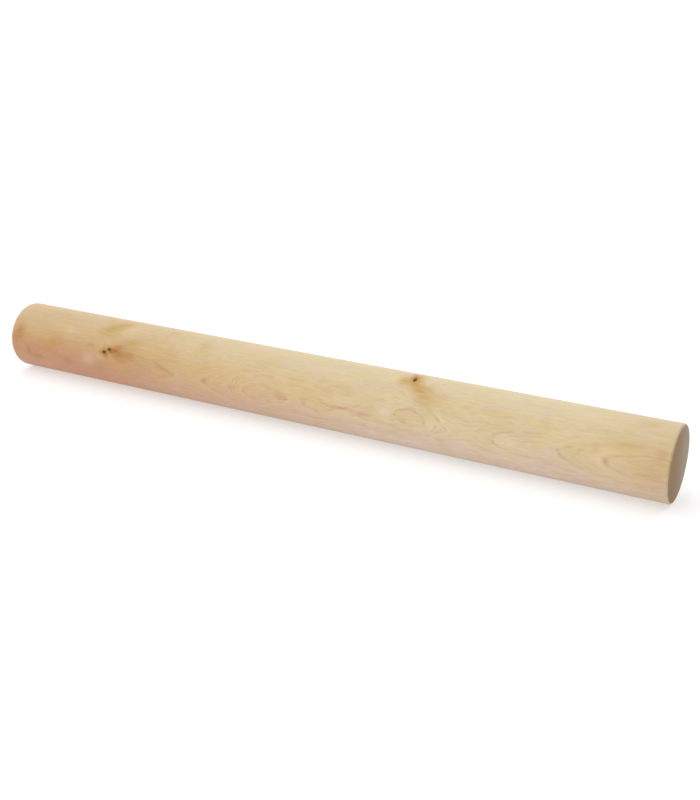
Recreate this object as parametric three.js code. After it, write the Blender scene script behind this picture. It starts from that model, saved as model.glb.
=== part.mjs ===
// A straight rolling pin without handles: one solid rod of pale hardwood, turned to a single
// diameter, sawn square at both ends and sanded, with each rim eased so that it can't mark the dough.
// Nothing is fitted to it or inside it. The palms roll the rod itself.
//
// Millimetres, +Z up. The pin lies along X on the work surface at Z = 0, and the origin is on that
// surface under the middle of the pin.

import * as THREE from "three";

// Driving dimensions
const PIN_LENGTH = 500; // from end face to end face
const PIN_DIAMETER = 48;
const RIM_ROUND = 1.2; // radius of the eased rim at each end

// How finely the turned surfaces are cut into flats
const FLATS_AROUND = 48; // an even count, so that a flat lies straight under a flat
const FLATS_PER_RIM = 4; // along the quarter round of a rim, an even count

const pinRadius = PIN_DIAMETER / 2;
const halfLength = PIN_LENGTH / 2;
const faceRadius = pinRadius - RIM_ROUND; // of the flat disc left at each end

// One flat of the rod lies on the work surface, a little nearer the axis than its edges are.
const halfFlatAngle = Math.PI / FLATS_AROUND;
const axisHeight = pinRadius * Math.cos(halfFlatAngle);

// Half of the rod's lengthwise section: out along one end face, round the rim, along the side,
// round the other rim and back to the axis.
function rodSection() {
  const section = new THREE.Path();
  const quarterTurn = Math.PI / 2;
  section.moveTo(0, -halfLength);
  section.lineTo(faceRadius, -halfLength);
  section.absarc(faceRadius, -halfLength + RIM_ROUND, RIM_ROUND, -quarterTurn, 0);
  section.lineTo(pinRadius, halfLength - RIM_ROUND);
  section.absarc(faceRadius, halfLength - RIM_ROUND, RIM_ROUND, 0, quarterTurn);
  section.lineTo(0, halfLength);
  return section.getPoints(FLATS_PER_RIM / 2); // an arc is cut into twice this many flats
}

// Sanded birch: pale straw-yellow, matt and bare of varnish
const birch = new THREE.MeshStandardMaterial({ color: 0xdcc398, roughness: 0.6, metalness: 0 });

// The rod is turned about its own Y axis and then laid along X.
function makeRod() {
  const turned = new THREE.LatheGeometry(rodSection(), FLATS_AROUND, halfFlatAngle);
  const rod = new THREE.Mesh(turned, birch);
  rod.name = "wooden_rod";
  rod.rotation.z = -Math.PI / 2;
  rod.position.z = axisHeight;
  return rod;
}

const rollingPin = new THREE.Group();
rollingPin.add(makeRod());

export default rollingPin;
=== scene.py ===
import math

import bpy
import numpy as np
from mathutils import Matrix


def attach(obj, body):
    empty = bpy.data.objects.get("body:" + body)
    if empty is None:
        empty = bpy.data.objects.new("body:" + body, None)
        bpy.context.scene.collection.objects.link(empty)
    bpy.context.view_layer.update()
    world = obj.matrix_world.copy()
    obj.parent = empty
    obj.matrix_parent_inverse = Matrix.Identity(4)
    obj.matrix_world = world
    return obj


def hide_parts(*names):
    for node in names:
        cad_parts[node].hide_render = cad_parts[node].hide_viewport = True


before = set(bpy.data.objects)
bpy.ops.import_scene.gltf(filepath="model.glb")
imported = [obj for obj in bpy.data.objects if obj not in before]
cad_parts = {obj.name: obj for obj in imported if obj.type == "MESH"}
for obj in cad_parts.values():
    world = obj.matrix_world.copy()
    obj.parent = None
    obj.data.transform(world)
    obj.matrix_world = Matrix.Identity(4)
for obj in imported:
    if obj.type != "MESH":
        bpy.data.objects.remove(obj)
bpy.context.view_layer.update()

scene = bpy.context.scene


# Viewpoint
# The pin is seen from a little above with its near end to the right, through a short telephoto lens.
CAMERA_AZIMUTH = math.radians(29.149)
CAMERA_ELEVATION = math.radians(21.427)
CAMERA_PLACE = (0.37622, -0.61775, 0.29985)  # metres
CAMERA_LENS = 51.270  # millimetres
FILM_SIDE = 36.0  # millimetres, along the picture's long side

camera_data = bpy.data.cameras.new("viewpoint")
camera_data.sensor_width = FILM_SIDE
camera_data.lens = CAMERA_LENS
camera = bpy.data.objects.new("viewpoint", camera_data)
camera.location = CAMERA_PLACE
camera.rotation_euler = (math.pi / 2 - CAMERA_ELEVATION, 0.0, CAMERA_AZIMUTH)
scene.collection.objects.link(camera)
scene.camera = camera


# Studio floor and light
# A sheet of milky plastic, faintly lit from below, in a white tent that is lit from the left and a
# little from behind, with one very broad soft lamp overhead. White paper stands round it, far off.
FLOOR_HALF = 15.0  # metres
FLOOR_COLOUR = "C4C4C4"
FLOOR_GLOW = 0.48
PAPER_DISTANCE = 12.0  # metres
PAPER_HEIGHT = 7.0  # metres
PAPER_STRIPS = 96
PAPER_COLOUR = "FFFFFF"
WHITE_LIGHT = (1.0, 1.0, 1.0, 1.0)
TENT_LIT_FROM = (-0.85, 0.2, 0.45)
TENT_DIM = 0.15
TENT_DIM_UP_TO = -0.7  # of the way towards the lit side
TENT_BRIGHT = 1.75
TENT_BRIGHT_FROM = 0.5  # of that way too
LAMP_LIGHT = 0.12  # of what a white surface facing the lamp sends back
LAMP_WIDTH = math.radians(90)  # as seen from the pin
LAMP_TILT = math.radians(20)  # from straight overhead towards the viewer


def linear(hex_colour):
    """An sRGB hex colour in linear light, with alpha: each byte over 255, undone by the sRGB curve."""
    coded = np.array([int(hex_colour[k:k + 2], 16) for k in (0, 2, 4)]) / 255.0
    plain = np.where(coded <= 0.04045, coded / 12.92, ((coded + 0.055) / 1.055) ** 2.4)
    return (*plain.tolist(), 1.0)


def add_node(tree, kind, inputs, out=0, **settings):
    """Adds a node with these settings, sets or links its inputs, and gives the wanted output."""
    node = tree.nodes.new(kind)
    for name, value in settings.items():
        setattr(node, name, value)
    for name, value in inputs.items():
        if isinstance(value, bpy.types.NodeSocket):
            tree.links.new(value, node.inputs[name])
        else:
            node.inputs[name].default_value = value
    return node.outputs[out] if len(node.outputs) else node


floor_mesh = bpy.data.meshes.new("floor")
floor_corners = np.array([(-1, -1, 0), (1, -1, 0), (1, 1, 0), (-1, 1, 0)]) * FLOOR_HALF
floor_mesh.from_pydata(floor_corners.tolist(), [], [(0, 1, 2, 3)])
floor = bpy.data.objects.new("floor", floor_mesh)
scene.collection.objects.link(floor)

# Milky plastic sheet: an even white without shine, on which a shadow stays faint
milky_sheet = bpy.data.materials.new("milky_plastic_sheet")
milky_sheet.use_nodes = True
tree = milky_sheet.node_tree
tree.nodes.clear()
plastic = add_node(tree, "ShaderNodeBsdfPrincipled", {
    "Base Color": linear(FLOOR_COLOUR), "Roughness": 0.9, "Specular IOR Level": 0.0,
    "Emission Color": WHITE_LIGHT, "Emission Strength": FLOOR_GLOW})
add_node(tree, "ShaderNodeOutputMaterial", {"Surface": plastic})
floor_mesh.materials.append(milky_sheet)

# The paper fills the view above the floor's edge and gives the pin no light. It is a ring of upright
# strips: at angle a, (distance cos a, distance sin a, 0 or the height).
way_round = np.linspace(0.0, 2 * math.pi, PAPER_STRIPS, endpoint=False)
outward = np.stack([np.cos(way_round), np.sin(way_round), np.zeros(PAPER_STRIPS)], axis=-1)
paper_foot = outward * PAPER_DISTANCE
paper_points = np.concatenate([paper_foot, paper_foot + (0.0, 0.0, PAPER_HEIGHT)])
strip = np.arange(PAPER_STRIPS)
next_strip = np.roll(strip, -1)
paper_faces = np.stack([next_strip, strip, strip + PAPER_STRIPS, next_strip + PAPER_STRIPS], axis=-1)
paper_mesh = bpy.data.meshes.new("paper_backdrop")
paper_mesh.from_pydata(paper_points.tolist(), [], paper_faces.tolist())
paper = bpy.data.objects.new("paper_backdrop", paper_mesh)
paper.visible_diffuse = False
paper.visible_glossy = False
paper.visible_shadow = False
scene.collection.objects.link(paper)

# White paper, evenly lit: a plain white ground
white_paper = bpy.data.materials.new("white_paper")
white_paper.use_nodes = True
tree = white_paper.node_tree
tree.nodes.clear()
lit_paper = add_node(tree, "ShaderNodeBsdfPrincipled", {
    "Base Color": linear(PAPER_COLOUR), "Roughness": 1.0, "Specular IOR Level": 0.0,
    "Emission Color": WHITE_LIGHT, "Emission Strength": 1.0})
add_node(tree, "ShaderNodeOutputMaterial", {"Surface": lit_paper})
white_paper.cycles.emission_sampling = "NONE"
paper_mesh.materials.append(white_paper)

# White tent cloth: soft light from the whole sky, brightest on the lit side
tent = bpy.data.worlds.new("light_tent")
tent.use_nodes = True
tree = tent.node_tree
tree.nodes.clear()
direction = add_node(tree, "ShaderNodeTexCoord", {}, "Generated")
towards_light = add_node(tree, "ShaderNodeVectorMath", {0: direction, 1: TENT_LIT_FROM}, "Value",
                         operation="DOT_PRODUCT")
brightness = add_node(tree, "ShaderNodeMapRange", {
    "Value": towards_light, "From Min": TENT_DIM_UP_TO, "From Max": TENT_BRIGHT_FROM,
    "To Min": TENT_DIM, "To Max": TENT_BRIGHT}, interpolation_type="SMOOTHSTEP")
cloth = add_node(tree, "ShaderNodeBackground", {"Strength": brightness})
add_node(tree, "ShaderNodeOutputWorld", {"Surface": cloth})
scene.world = tent

lamp_data = bpy.data.lights.new("overhead_lamp", "SUN")
lamp_data.energy = math.pi * LAMP_LIGHT
lamp_data.angle = LAMP_WIDTH
lamp = bpy.data.objects.new("overhead_lamp", lamp_data)
lamp.rotation_euler = (LAMP_TILT, 0.0, 0.0)
scene.collection.objects.link(lamp)
scene.view_settings.view_transform = "Standard"


# Birch rod
# The whole pin is this one piece: a straight length of birch, turned on a lathe to one diameter,
# sawn square at both ends, its rims eased and all of it sanded. Nothing is fixed to it or inside it.
MM = 0.001
PIN_LENGTH = 500.0 * MM
PIN_RADIUS = 24.0 * MM
RIM_ROUND = 1.2 * MM

# A mark's place on the side is given in millimetres along the pin from its middle and in degrees round
# from its top towards the viewer. Then come its half length and half height in millimetres, how far it
# leans along for each millimetre up, and its strength.
KNOTS = (
    (-159.4, 72.6, 2.1, 1.2, 0.2, 1), (-155, 67, 1.9, 1.35, -0.2, 1), (-157.2, 76.6, 1, 1.3, -0.6, 0.5),
    (81.9, 13, 1.25, 2, -0.12, 1.2), (82.2, 5.5, 0.8, 2.2, -0.3, 0.32),
)
KNOT_PIT = 0.3 * MM  # depth at a strength of 1

AROUND = 168  # faces round the rod
ALONG = 540  # and along its side
FACE_RINGS = 12  # rings of faces on each end
RIM_RINGS = 8  # and on each rim
FINE_STEPS = 8000  # from which the uneven steps are taken
KNOT_REACH_ALONG = 5.0 * MM  # the faces are smaller this near a knot
KNOT_PULL_ALONG = 3.0
KNOT_REACH_AROUND = math.radians(12)
KNOT_PULL_AROUND = 2.0


def gathered(start, end, count, places, reach, pull):
    """Stations from start to end that crowd together near some places: they are even steps of the
    running total of 1 + pull * sum of exp(-((s - place) / reach)^2)."""
    fine = np.linspace(start, end, FINE_STEPS + 1)
    near = np.exp(-(((fine[:, None] - np.array(places)) / reach) ** 2)).sum(axis=1)
    total = np.cumsum(1.0 + pull * near)
    return np.interp(np.linspace(total[0], total[-1], count), total, fine)


def rod_profile():
    """Half of the lengthwise section, from the middle of one end face to the middle of the other:
    stations and radii out along a face, round a quarter circle, along the side, and back the same way."""
    half = PIN_LENGTH / 2
    turn = np.linspace(0.0, math.pi / 2, RIM_RINGS + 1)
    face = np.linspace(0.0, PIN_RADIUS - RIM_ROUND, FACE_RINGS + 1)[1:-1]
    rim_station = half - RIM_ROUND + RIM_ROUND * np.sin(turn)
    rim_radius = PIN_RADIUS - RIM_ROUND + RIM_ROUND * np.cos(turn)
    knot_stations = [knot[0] * MM for knot in KNOTS]
    side = gathered(-rim_station[0], rim_station[0], ALONG + 1, knot_stations, KNOT_REACH_ALONG,
                    KNOT_PULL_ALONG)[1:-1]
    side_radius = np.full(side.size, PIN_RADIUS)
    end = np.full(face.size, half)
    stations = np.concatenate([-end, -rim_station[::-1], side, rim_station, end])
    radii = np.concatenate([face, rim_radius[::-1], side_radius, rim_radius, face[::-1]])
    return stations, radii


def marks(places, x, radius, angles):
    """Soft spots on the rod: the sum over the places of strength * exp(-(aside / half length)^2
    - (up / half height)^2), where up is the arc towards the top and aside is the way along from the
    leaning middle line."""
    total = np.zeros_like(x)
    for along, around, half_length, half_height, lean, strength in places:
        arc = (math.radians(around) - angles + math.pi) % (2 * math.pi) - math.pi
        up = arc * radius / MM
        aside = x / MM - along - lean * up
        total += strength * np.exp(-(aside / half_length) ** 2 - (up / half_height) ** 2)
    return total


stations, radii = rod_profile()
knot_angles = [math.radians(knot[1]) for knot in KNOTS]
angles = gathered(-math.pi, math.pi, AROUND + 1, knot_angles, KNOT_REACH_AROUND, KNOT_PULL_AROUND)[:-1]

# The profile turned about the axis: at angle a, (station, -radius sin a, axis height + radius cos a),
# with the pits of the knots taken off the radius.
x, turn = np.meshgrid(stations, angles, indexing="ij")
radius = np.repeat(radii[:, None], AROUND, axis=1)
radius = radius - KNOT_PIT * marks(KNOTS, x, radius, turn)
grid = np.stack([x, -radius * np.sin(turn), PIN_RADIUS + radius * np.cos(turn)], axis=-1)
middles = np.array([(stations[0], 0.0, PIN_RADIUS), (stations[-1], 0.0, PIN_RADIUS)])
points = np.concatenate([grid.reshape(-1, 3), middles])

number = np.arange(stations.size * AROUND).reshape(stations.size, AROUND)
beside = np.roll(number, -1, axis=1)
sides = np.stack([number[:-1], number[1:], beside[1:], beside[:-1]], axis=-1).reshape(-1, 4)
far_middle = np.full(AROUND, number.size)
far_fan = np.stack([far_middle, number[0], beside[0]], axis=-1)
near_fan = np.stack([far_middle + 1, beside[-1], number[-1]], axis=-1)

rod_mesh = bpy.data.meshes.new("birch_rod")
rod_mesh.from_pydata(points.tolist(), [], sides.tolist() + far_fan.tolist() + near_fan.tolist())
rod_mesh.polygons.foreach_set("use_smooth", np.ones(len(rod_mesh.polygons), dtype=bool))
rod = bpy.data.objects.new("birch_rod", rod_mesh)
scene.collection.objects.link(rod)
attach(rod, "root")
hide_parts("wooden_rod")

# Growth layers
# The rod is cut from a trunk whose middle lies well behind it. Where it is cut flat to the layers they
# show as arches and closed ovals, because they wander in and out along the pin.
PITH_DEPTH = 60.0  # millimetres from the rod's axis to the middle of the trunk
LAYER_WIDTH = 1.5  # millimetres, a year's growth
WANDER_EASE = 14  # millimetres, the window that rounds the wander off
DRAWN_IN = (9.0, 4.0, 0.0)  # half length and half height in millimetres, and lean, of the dip at a knot
DRAWN_IN_YEARS = 0.8  # how deep that dip is at a strength of 1
LEAST_STEP = 0.05  # millimetres along the pin, used on the end faces, which have no step along
# Millimetres along the pin, and the year that reaches the surface there: a line lies on each whole year
WANDER = (
    (-280, -2.6), (-241, -1), (-228, -0.55), (-205, 0), (-180, 0.5), (-150, 0.75), (-120, 0.45),
    (-98, 0), (-84, -0.35), (-69.5, 0), (-49, 1), (-38.5, 2), (-22, 2.45), (-4, 2), (3, 1.8), (10, 2),
    (18, 2.2), (29, 2.02), (46, 2.03), (60, 2.4), (76, 3), (87, 3.4), (97, 3), (106, 2), (125, 1.5),
    (142.5, 2), (156, 2.4), (183, 3), (213, 4), (235, 4.5), (250, 4.4), (280, 4),
)
# Millimetres along the pin, and degrees round from the top where it is cut flat to the layers
BARK_SIDE = (
    (-280, 80), (-242, 78), (-205, 77), (-150, 84), (-98, 88), (-49, 88), (-4, 89), (37, 86), (58, 81),
    (74, 74), (86, 75), (98, 79), (120, 83), (142, 84), (183, 83), (213, 82), (250, 80), (280, 80),
)


def eased_along(bends, x):
    """The value at each x of a line through some points, rounded off by a sliding mean."""
    whole = np.arange(bends[0][0], bends[-1][0] + 1)
    window = np.hanning(WANDER_EASE + 2)
    straight = np.pad(np.interp(whole, *np.transpose(bends)), WANDER_EASE, mode="edge")
    rounded = np.convolve(straight, window / window.sum(), mode="same")[WANDER_EASE:-WANDER_EASE]
    return np.interp(x / MM, whole, rounded)


def layers(x, radius, off_bark):
    """The year of growth at a point: the wander along the pin, plus the distance from the trunk's middle,
    less that of the surface on the bark side, over a layer's width."""
    across = radius / MM * np.sin(off_bark)
    outwards = radius / MM * np.cos(off_bark) + PITH_DEPTH
    depth = np.hypot(across, outwards) - PIN_RADIUS / MM - PITH_DEPTH
    return eased_along(WANDER, x) + depth / LAYER_WIDTH


off_bark = (turn - np.radians(eased_along(BARK_SIDE, x)) + math.pi) % (2 * math.pi) - math.pi
drawn_in = [(*knot[:2], *DRAWN_IN, DRAWN_IN_YEARS * knot[5]) for knot in KNOTS]
year = layers(x, radius, off_bark) - marks(drawn_in, x, radius, turn)

# How fast the year changes over the surface, in years per millimetre: along the pin, and round it
year_along = np.gradient(year, axis=0) / np.maximum(np.gradient(x / MM, axis=0), LEAST_STEP)
full_turn = np.concatenate([angles[-1:] - 2 * math.pi, angles, angles[:1] + 2 * math.pi])
wrapped = np.concatenate([year[:, -1:], year, year[:, :1]], axis=1)
year_around = np.gradient(wrapped, full_turn * PIN_RADIUS / MM, axis=1)[:, 1:-1]
steepness = np.hypot(year_along, year_around)

# Stains
# Rust lies round the knots and at the tips of the arches, honey is drawn out above them, and pale wood
# lies beside both. The heart of the trunk warms the far end, most of all low on the viewer's side.
RUST = (
    (-159.4, 72.6, 3.2, 2.2, 0.2, 0.55), (-155, 67, 2.9, 2.3, -0.2, 0.55),
    (81.9, 13, 2.3, 3.4, -0.12, 0.4), (-149.5, 69.5, 4.6, 4, 0, 0.8), (-144.5, 72, 4.5, 4.5, 0, 0.36),
    (-137.5, 70, 5.5, 4, 0, 0.4), (-145, 59, 6.5, 2.8, 0.4, 0.34), (-152.5, 70.5, 2.4, 1.6, 0.4, 0.55),
    (-157.5, 77, 3.2, 2.2, -0.4, 0.6), (-162, 75, 3, 1.6, 0.4, 0.22), (-160, 64, 0.9, 3, 0, 0.34),
    (-143, 80, 5, 2.6, 0, 0.16), (-242, 67, 4.2, 6.5, 0.1, 0.54), (-245, 79, 2.5, 2, 0, 0.26),
    (-233.5, 98, 2.4, 2.6, 0, 0.58), (-226, 106, 6.5, 3, 0.3, 0.5), (-195, 103, 4, 3.2, 0.4, 0.34),
    (-206, 74, 6.5, 4.5, 0.3, 0.18), (-201, 67, 7, 1.3, 0.6, 0.18), (-152, 10, 5, 5, 0.5, 0.16),
    (-165, 107, 6.5, 2.6, 0.5, 0.2), (-172, 66, 5, 1.5, 0.5, 0.18), (-105, 81.5, 2, 3.2, -2.4, 0.24),
    (-99, 88, 2.2, 1.2, -1, 0.22), (-70, 86.5, 2.2, 2, 0.4, 0.34), (-48.5, 88.5, 3.2, 1.5, 0.9, 0.34),
    (-38, 87, 1.4, 2.2, 0.2, 0.15), (-8, 88, 5, 1.6, -0.8, 0.32), (10, 88.5, 1.2, 2, 0.2, 0.2),
    (37, 85, 8.5, 1.2, 0, 0.46), (53, 88, 5, 1.6, 0, 0.36), (81.8, 10, 3.2, 4.6, -0.15, 0.6),
    (79.6, -2, 1.4, 4, -0.4, 0.5), (83.6, -2, 2.6, 4.5, 0, 0.34), (91, 34, 5, 5, -0.4, 0.06),
    (95, 47, 4.5, 5, -0.4, 0.09), (124, 46, 5, 2.2, 0, 0.16), (213.2, 82.5, 1.6, 2, 0, 0.45),
    (206.5, 69, 2, 1.8, 0, 0.22), (244.5, 60, 4.2, 3.6, 0, 0.32), (243, 95, 10, 9, 0, 0.17),
    (142, 85.5, 1.6, 2.2, 0.3, 0.18), (-124, 80, 16, 6, 0, 0.1), (-132, 67, 7, 4, 0, 0.15),
    (-128, 82, 8, 4, 0, 0.09), (-107, 84.5, 1.6, 2, -2.6, 0.2), (-106, 93, 2.5, 1, 4, 0.14),
)
HONEY = (
    (-162, 34, 5.8, 3.8, 0.2, 0.6), (-159, 23.5, 4.8, 3.8, 0.2, 0.58), (-151, 12, 5, 4.5, 0.6, 0.52),
    (-166, 8, 4, 5, -0.3, 0.28), (-158, 45, 7, 3, 0.3, 0.25), (-137, 49, 8, 2.8, 0.8, 0.62),
    (-215, 19, 12, 5, 0.3, 0.22), (-108, 8, 4.5, 3.6, 0.4, 0.28), (-110, 55, 16, 6, 0, 0.2),
    (-78, 31, 5.5, 4.5, 0, 0.34), (-74, 70, 6, 4, 0, 0.2), (-17, 21, 5, 2, 0.3, 0.24),
    (-22, 38, 7, 3, 0, 0.18), (76.5, 18, 4.6, 5.2, 0.15, 0.46), (82, 24, 6, 4.8, 0, 0.3),
    (87, 30, 5.6, 5, -0.3, 0.54), (92, 39, 6.5, 6, -0.2, 0.32), (104, 39, 8, 3.6, 0.2, 0.4),
    (97, 50, 6, 6, -0.3, 0.22), (84, 5, 5.5, 7, -0.1, 0.28), (86.8, 15, 3.5, 4.5, 0, 0.22),
    (74.5, 11, 3.5, 5, 0.1, 0.28), (86, 78, 8.5, 4, 0, 0.25), (176, 50, 4, 5, 0, 0.12),
    (168, 70, 5.5, 3.2, 0.5, 0.14), (227, 56, 11, 4, 0.5, 0.27), (233, 14, 6.5, 4.5, 0.5, 0.23),
    (-122, 74, 22, 7, 0, 0.14), (-124, 31, 20, 8, 0, 0.11), (-152, 31, 4.5, 5, 0, 0.36),
    (-166, 41, 4.5, 3, 0, 0.26), (-106, 74, 6, 4, 0, 0.25), (95, 25, 4.5, 5, 0, 0.3),
    (76, 26, 3.5, 3.5, 0, 0.18), (-158, 5, 5, 4, 0, 0.2),
)
PALE = (
    (-154.4, 77, 1.6, 1.4, 0, 0.5), (-174, 91.5, 6, 4.8, 0.1, 0.34), (70, 76, 4, 5, 0.3, 0.55),
    (70, 50, 7, 4, 0, 0.25), (152, 84, 6.5, 4, 0.2, 0.46), (179, 86, 4.5, 3.6, 0.3, 0.32),
    (-142, 27, 8, 4, 0.4, 0.2), (-88, 29, 7, 4.5, 0, 0.25), (102, 84, 3, 4.5, 0, 0.34),
    (209, 82, 3, 3, 0, 0.24), (-196, 48, 8, 4, 0, 0.2), (92, 16, 3.5, 3, 0.2, 0.3),
    (-163, 82, 3.5, 2.5, 0, 0.22), (63, 50, 6, 4, 0, 0.2), (75, 41, 5, 3, 0, 0.2),
    (140, 107, 26, 4.5, 0, 0.25),
)
# Where the growth lines show most, with strengths added to the flat cut's own
PLAIN = (
    (80, 77, 9, 8, 0, 0.6), (96, 78, 8, 8, 0, 0.6), (107, 81, 5, 8, 0, 0.7), (143, 84, 6, 7, 0, 0.5),
    (184, 82, 6, 7, 0, 0.3), (-50, 88, 9, 5, 0, 0.4), (-8, 88, 8, 4, 0, 0.5), (42, 85, 14, 4, 0, 0.5),
)


def eased_share(low, high, value):
    """How far value is from low to high, from 0 to 1, eased at both ends as 3 s^2 - 2 s^3."""
    share = np.clip((value - low) / (high - low), 0.0, 1.0)
    return share * share * (3.0 - 2.0 * share)


# Fields on the rod
# Each starts at the first value that eased_share is given and is full at the second. The values are
# millimetres along the pin, degrees off the flat cut, or heights and depths in radii from the axis.
along_pin = x / MM
height = np.cos(turn)  # 1 at the top of the rod, -1 at the bottom
viewer_side = eased_share(-0.9, 0.3, np.sin(turn))
far_half = 0.42 * eased_share(60.0, -230.0, along_pin) * (0.6 + 0.4 * viewer_side)
far_low = 0.53 * eased_share(-85.0, -215.0, along_pin) + 0.12 * eased_share(90.0, 0.0, along_pin)
heart = far_half + far_low * eased_share(1.0, -0.35, height) * viewer_side
near_half = 0.6 * eased_share(0.0, 90.0, along_pin) * eased_share(250.0, 170.0, along_pin)
off_flat = np.degrees(np.minimum(np.abs(off_bark), math.pi - np.abs(off_bark)))
flat_cut = eased_share(62.0, 12.0, off_flat) * (1.0 - 0.6 * eased_share(-110.0, -180.0, along_pin))
back_depth = -radius / PIN_RADIUS * np.sin(turn)  # 1 at the back of the rod, -1 at its front
near_or_far = np.where(x > 0.0, 1.0, 0.3)  # the far end's face is less pale at its back
fields = {
    "year": year,
    "steepness": steepness,
    "flat_cut": flat_cut + marks(PLAIN, x, radius, turn),
    # Painted sheen: the top is made creamier and paler, as a white reflection would make it; the near half
    # takes the same cream
    "top_sheen": np.maximum(eased_share(0.4, 0.9, height), near_half),
    # Painted floor bounce: the lower side is made pinker and greyer
    "belly_bounce": eased_share(0.3, -0.6, height),
    # Painted shade: darker towards the bottom of the rod, where it rests on the floor
    "underside_shade": 0.4 * eased_share(-0.5, -0.95, height),
    "near_end": 0.36 * eased_share(185.0, 245.0, along_pin),
    "heart": heart,
    "end_back": eased_share(-0.5, 1.0, back_depth) * near_or_far,
    # The heart's own tint, made pinker low down with the same painted floor bounce
    "low_heart_bounce": heart * eased_share(0.55, -0.4, height),
    "pale": marks(PALE, x, radius, turn),
    "honey": marks(HONEY, x, radius, turn),
    "rust": marks(RUST, x, radius, turn),
    "knot": marks(KNOTS, x, radius, turn),
}
for name, field in fields.items():
    ends = [field[0].mean(), field[-1].mean()]
    values = np.concatenate([field.ravel(), ends]).astype(np.float32)
    rod_mesh.attributes.new(name, "FLOAT", "POINT").data.foreach_set("value", values)

# Sanded birch: pale straw, nearly matt, with faint broken growth lines, fine fibres along the grain, brown
# stain drawn out round the pin knots, and darker end grain. Painted light is laid on it as well: a painted
# sheen makes the top creamier, painted floor bounce makes the lower side pinker and greyer, and painted
# shade darkens the underside.
STRAW = "D3BA8D"
# Painted sheen of the top
TOP_SHEEN_CREAM = "CEBD98"
# Painted floor bounce on the lower side
PINK_BOUNCE = "D1BAA6"
# Painted shade on the underside
UNDERSIDE_SHADE = "B09E90"
DULL_STRAW = "BEA47C"
HEART_TAN = "BC8D56"
# Heartwood tint with painted floor bounce, low down
HEART_PINK_BOUNCE = "BE8E70"
PALE_SAPWOOD = "DECDB3"
HONEY_BROWN = "BA964C"
RUST_BROWN = "A16922"
LINE_BROWN = "A57C4B"
KNOT_BROWN = "6A3A00"
END_GRAIN = "9E7E5A"
END_GRAIN_BACK = "B0A08E"  # on the side away from the viewer, paler and greyer

# Lumps of noise: millimetres along the grain and across it, and how many times finer ones are added.
# Fibres and pores are about four times as coarse as the real 0.1 mm, so that they show.
LUMPS = {
    "cloud": (34.0, 11.0, 2.0),
    "hue": (13.0, 7.0, 1.0),
    "streak": (14.0, 1.3, 3.0),
    "uneven": (30.0, 9.0, 1.0),
    "ripple": (9.0, 5.0, 0.0),
    "jitter": (5.0, 1.6, 1.0),
    "fading": (8.0, 2.6, 2.0),
    "fleck": (7.0, 1.1, 2.0),
    "crumb": (1.2, 0.9, 2.0),
    "fibre": (16.0, 0.45, 2.0),
    "pore": (5.0, 0.35, 1.0),
    "end_pore": (60.0, 0.7, 2.0),
}
birch = bpy.data.materials.new("sanded_birch")
birch.use_nodes = True
tree = birch.node_tree
tree.nodes.clear()
place = add_node(tree, "ShaderNodeTexCoord", {}, "Object")
layer = {name: add_node(tree, "ShaderNodeAttribute", {}, "Fac", attribute_name=name) for name in fields}
lump = {}
for name, (length, width, finer) in LUMPS.items():
    per_lump = (1 / (length * MM), 1 / (width * MM), 1 / (width * MM))
    at = add_node(tree, "ShaderNodeMapping", {"Vector": place, "Scale": per_lump})
    lump[name] = add_node(tree, "ShaderNodeTexNoise", {"Vector": at, "Scale": 1.0, "Detail": finer})

# The wood's colours, laid one over another: those of the stains are broken into streaks along the grain.
# A Map Range node takes a value, the ends of its range, and what to turn them into.
broken = add_node(tree, "ShaderNodeMapRange", {0: lump["streak"], 1: 0.3, 2: 0.7, 3: 0.78, 4: 1.2})
clouded = add_node(tree, "ShaderNodeMapRange", {0: lump["cloud"], 1: 0.3, 2: 0.7, 3: 0.8, 4: 1.2})
colour = linear(STRAW)
# The top sheen, the floor bounce and the underside shade in this list are painted light.
for name, shade, breaking in (
        ("top_sheen", TOP_SHEEN_CREAM, 1.0), ("belly_bounce", PINK_BOUNCE, 1.0), ("underside_shade", UNDERSIDE_SHADE, 1.0),
        ("near_end", DULL_STRAW, 1.0), ("heart", HEART_TAN, clouded), ("low_heart_bounce", HEART_PINK_BOUNCE, 1.0),
        ("pale", PALE_SAPWOOD, broken), ("honey", HONEY_BROWN, broken), ("rust", RUST_BROWN, broken)):
    share = add_node(tree, "ShaderNodeMath", {0: layer[name], 1: breaking}, operation="MULTIPLY")
    colour = add_node(tree, "ShaderNodeMix", {0: share, 6: colour, 7: linear(shade)}, 2,
                      data_type="RGBA")

# Growth lines
# A year has a main line of late wood and two fainter ones, each with paler wood on its inner side. They
# fade in and out along the grain and are plainest where the rod is cut flat to the layers.
YEAR_SWAY = (("uneven", 0.55), ("ripple", 0.12), ("jitter", 0.16))  # years, for each kind of lump
LEAST_STEEP = 0.03  # years per millimetre, so that a line isn't lost where the layers lie flat
FAINTEST = 0.03  # a line's share of the colour away from the flat cuts
PLAINEST = 0.44  # and the share where it is plainest
PLAINEST_AT = 1.7  # the flat_cut there
PALE_OFFSET = 1.2  # of a line's half width
PALE_WEIGHT = 0.5  # of a line's weight
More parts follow.
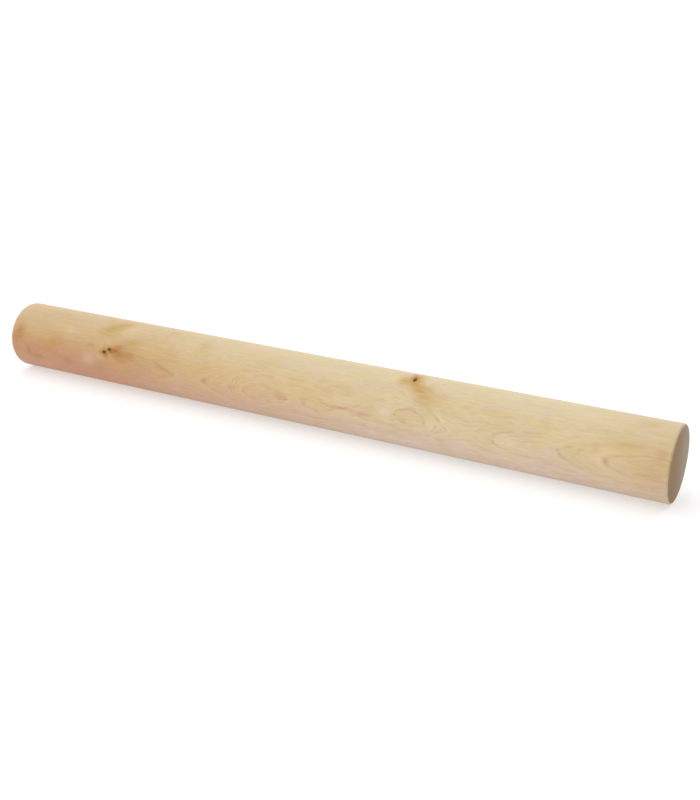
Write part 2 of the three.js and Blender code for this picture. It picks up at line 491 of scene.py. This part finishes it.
# Each line's phase in the year, its half width in millimetres and its weight, the main line last
LINES = ((0.46, 1.1, 0.4), (0.78, 1.3, 0.55), (0.08, 1.7, 0.85))
shown_year = layer["year"]
for name, years in YEAR_SWAY:
    shown_year = add_node(tree, "ShaderNodeMath", {0: lump[name], 1: years, 2: shown_year},
                          operation="MULTIPLY_ADD")
steep = add_node(tree, "ShaderNodeMath", {0: layer["steepness"], 1: LEAST_STEEP}, operation="MAXIMUM")
fading = add_node(tree, "ShaderNodeMapRange", {0: lump["fading"], 1: 0.38, 2: 0.6, 3: 0.05, 4: 1.0})
plainness = add_node(tree, "ShaderNodeMapRange", {
    0: layer["flat_cut"], 2: PLAINEST_AT, 3: FAINTEST, 4: PLAINEST})
plainness = add_node(tree, "ShaderNodeMath", {0: plainness, 1: fading}, operation="MULTIPLY")
for phase, reach, weight in LINES:
    to_line = add_node(tree, "ShaderNodeMath", {0: shown_year, 1: phase}, operation="ADD")
    to_line = add_node(tree, "ShaderNodeMath", {0: to_line}, operation="FRACT")
    to_line = add_node(tree, "ShaderNodeMath", {0: to_line, 1: 0.5}, operation="SUBTRACT")
    beyond = add_node(tree, "ShaderNodeMath", {0: to_line, 1: steep}, operation="DIVIDE")
    for offset, shade, strength in (
            (PALE_OFFSET * reach, PALE_SAPWOOD, PALE_WEIGHT * weight), (0.0, LINE_BROWN, weight)):
        distance = add_node(tree, "ShaderNodeMath", {0: beyond, 1: offset}, operation="ADD")
        distance = add_node(tree, "ShaderNodeMath", {0: distance}, operation="ABSOLUTE")
        line = add_node(tree, "ShaderNodeMapRange", {0: distance, 2: reach, 3: strength, 4: 0.0},
                        interpolation_type="SMOOTHSTEP")
        share = add_node(tree, "ShaderNodeMath", {0: line, 1: plainness}, operation="MULTIPLY")
        colour = add_node(tree, "ShaderNodeMix", {0: share, 6: colour, 7: linear(shade)}, 2,
                          data_type="RGBA")

# Patches a little yellower or pinker, then light and dark: broad clouds, streaks that follow the layers,
# flecks, fibres and pores. The two tints multiply the colour.
YELLOWER = (1.0, 1.0, 0.938, 1.0)
PINKER = (1.012, 0.994, 1.052, 1.0)
FIGURE_LENGTH = 26.0 * MM  # of a streak that follows the layers
FIGURE_HEIGHT = 20.0 * MM
FIGURES_PER_YEAR = 1.6
patch = add_node(tree, "ShaderNodeMapRange", {0: lump["hue"], 1: 0.38, 2: 0.62},
                 interpolation_type="SMOOTHSTEP")
tint = add_node(tree, "ShaderNodeMix", {0: patch, 6: YELLOWER, 7: PINKER}, 2, data_type="RGBA")
colour = add_node(tree, "ShaderNodeVectorMath", {0: colour, 1: tint}, operation="MULTIPLY")
coarse = add_node(tree, "ShaderNodeMapping", {
    "Vector": place, "Scale": (1 / FIGURE_LENGTH, 0.0, 1 / FIGURE_HEIGHT)})
by_year = add_node(tree, "ShaderNodeCombineXYZ", {1: shown_year})
by_year = add_node(tree, "ShaderNodeVectorMath", {
    0: by_year, 1: (0.0, FIGURES_PER_YEAR, 0.0), 2: coarse}, operation="MULTIPLY_ADD")
lump["figure"] = add_node(tree, "ShaderNodeTexNoise", {"Vector": by_year, "Scale": 1.0, "Detail": 3.0})
for name, low, high, tone_low, tone_high in (
        ("cloud", 0.3, 0.7, 0.97, 1.03), ("figure", 0.3, 0.7, 0.97, 1.03),
        ("fleck", 0.3, 0.7, 0.962, 1.038), ("fibre", 0.3, 0.7, 0.974, 1.026),
        ("pore", 0.64, 0.74, 1.0, 0.945)):
    tone = add_node(tree, "ShaderNodeMapRange", {
        0: lump[name], 1: low, 2: high, 3: tone_low, 4: tone_high})
    colour = add_node(tree, "ShaderNodeVectorMath", {0: colour, 3: tone}, operation="SCALE")

# Pin knots: brown plugs of branch wood with a ragged edge, darker in the heart of a strong one
RAGGEDNESS = 0.5  # how much of the crumbs is added to a knot's strength
BROWN_FROM = 0.48  # the strength where the brown starts
BROWN_FULL = 1.1
DARKER_FROM = 1.22  # and where the heart starts
DARKEST_FROM = 1.45
DARKEST_TONE = 0.6
ragged = add_node(tree, "ShaderNodeMath", {0: lump["crumb"], 1: RAGGEDNESS, 2: layer["knot"]},
                  operation="MULTIPLY_ADD")
knot_share = add_node(tree, "ShaderNodeMapRange", {0: ragged, 1: BROWN_FROM, 2: BROWN_FULL},
                      interpolation_type="SMOOTHSTEP")
heart_tone = add_node(tree, "ShaderNodeMapRange", {
    0: ragged, 1: DARKER_FROM, 2: DARKEST_FROM, 3: 1.0, 4: DARKEST_TONE})
knot_colour = add_node(tree, "ShaderNodeVectorMath", {0: linear(KNOT_BROWN)[:3], 3: heart_tone},
                       operation="SCALE")
colour = add_node(tree, "ShaderNodeMix", {0: knot_share, 6: colour, 7: knot_colour}, 2, data_type="RGBA")

# End grain, on the flat of each end: the layers show as fine rings, and some years are paler
END_GRAIN_FROM = PIN_LENGTH / 2 - 0.06 * MM
END_GRAIN_FULL = PIN_LENGTH / 2 - 0.01 * MM
BANDS_PER_YEAR = 0.4
from_middle = add_node(tree, "ShaderNodeSeparateXYZ", {0: place}, "X")
from_middle = add_node(tree, "ShaderNodeMath", {0: from_middle}, operation="ABSOLUTE")
at_end = add_node(tree, "ShaderNodeMapRange", {0: from_middle, 1: END_GRAIN_FROM, 2: END_GRAIN_FULL},
                  interpolation_type="SMOOTHSTEP")
end_colour = add_node(tree, "ShaderNodeMix", {
    0: layer["end_back"], 6: linear(END_GRAIN), 7: linear(END_GRAIN_BACK)}, 2, data_type="RGBA")
some_years = add_node(tree, "ShaderNodeMath", {0: shown_year, 1: BANDS_PER_YEAR}, operation="MULTIPLY")
lump["end_band"] = add_node(tree, "ShaderNodeTexNoise", {"W": some_years, "Scale": 1.0, "Detail": 2.0},
                            noise_dimensions="1D")
for value, low, high, tone_low, tone_high in (
        (to_line, -0.35, 0.0, 1.03, 0.9), (lump["end_band"], 0.3, 0.7, 0.92, 1.08),
        (lump["end_pore"], 0.3, 0.7, 0.92, 1.08)):
    tone = add_node(tree, "ShaderNodeMapRange", {
        0: value, 1: low, 2: high, 3: tone_low, 4: tone_high})
    end_colour = add_node(tree, "ShaderNodeVectorMath", {0: end_colour, 3: tone}, operation="SCALE")
colour = add_node(tree, "ShaderNodeMix", {0: at_end, 6: colour, 7: end_colour}, 2, data_type="RGBA")

# The sanded fibres stand a little and the pores lie open. Knots and end grain are rougher.
KNOT_ROUGHNESS = 0.9
END_ROUGHNESS = 0.75
PORE_DEPTH = -0.5  # of the fibres' height
RELIEF = 0.05 * MM
rough = add_node(tree, "ShaderNodeMapRange", {0: lump["fibre"], 1: 0.3, 2: 0.7, 3: 0.48, 4: 0.56})
for share, roughness in ((knot_share, KNOT_ROUGHNESS), (at_end, END_ROUGHNESS)):
    least = add_node(tree, "ShaderNodeMath", {0: share, 1: roughness}, operation="MULTIPLY")
    rough = add_node(tree, "ShaderNodeMath", {0: rough, 1: least}, operation="MAXIMUM")
relief = add_node(tree, "ShaderNodeMath", {0: lump["pore"], 1: PORE_DEPTH, 2: lump["fibre"]},
                  operation="MULTIPLY_ADD")
bump = add_node(tree, "ShaderNodeBump", {"Height": relief, "Strength": 0.25, "Distance": RELIEF}, "Normal")
wood = add_node(tree, "ShaderNodeBsdfPrincipled", {
    "Base Color": colour, "Roughness": rough, "Normal": bump, "IOR": 1.5, "Specular IOR Level": 0.3})
add_node(tree, "ShaderNodeOutputMaterial", {"Surface": wood})
rod_mesh.materials.append(birch)
